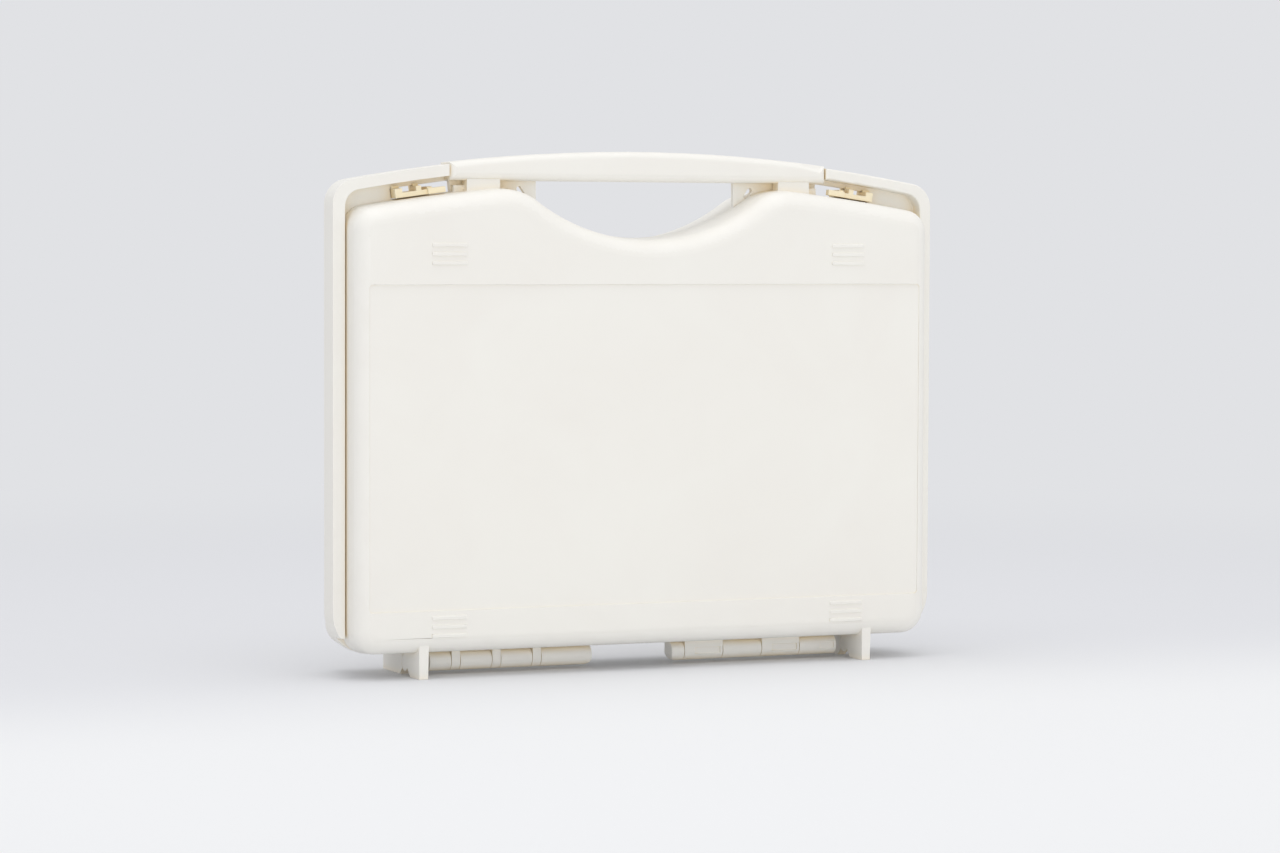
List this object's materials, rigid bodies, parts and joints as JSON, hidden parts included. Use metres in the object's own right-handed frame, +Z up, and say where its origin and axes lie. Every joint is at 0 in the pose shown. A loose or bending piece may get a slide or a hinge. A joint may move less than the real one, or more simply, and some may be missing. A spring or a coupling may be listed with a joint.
{
  "type": "moulded plastic carrying case",
  "caption": "Hinged carrying case of two injection moulded shells with an arched handle rail over a finger opening, sliding latches and knuckle hinges.",
  "frame": {"origin": "on the floor under the middle of the standing case", "axes": "+X to the right along the handle, -Y out of the front of the lid, +Z up from the feet to the handle"},
  "size_m": [0.344, 0.0606, 0.2736],
  "materials": {
    "shell": "fine spark-eroded texture, ivory polypropylene",
    "latch": "satin, cream polypropylene",
    "pin": "drawn steel rod"
  },
  "bodies": {
    "base": {"base_shell": "shell", "left_hinge_pin": "pin", "right_hinge_pin": "pin"},
    "lid": {"lid_shell": "shell"},
    "latch_left": {"left_latch": "latch"},
    "latch_right": {"right_latch": "latch"}
  },
  "joints": [
    {"name": "lid_hinge", "type": "hinge", "parent": "base", "child": "lid", "pos_m": [0, -0.00565, 0.007], "axis": [1, 0, 0], "range_deg": [0, 95]},
    {"name": "left_latch_slide", "type": "slide", "parent": "base", "child": "latch_left", "axis": [0.9907, 0, 0.1362], "range_m": [0, 0.011]},
    {"name": "right_latch_slide", "type": "slide", "parent": "base", "child": "latch_right", "axis": [-0.9907, 0, 0.1362], "range_m": [0, 0.011]}
  ]
}
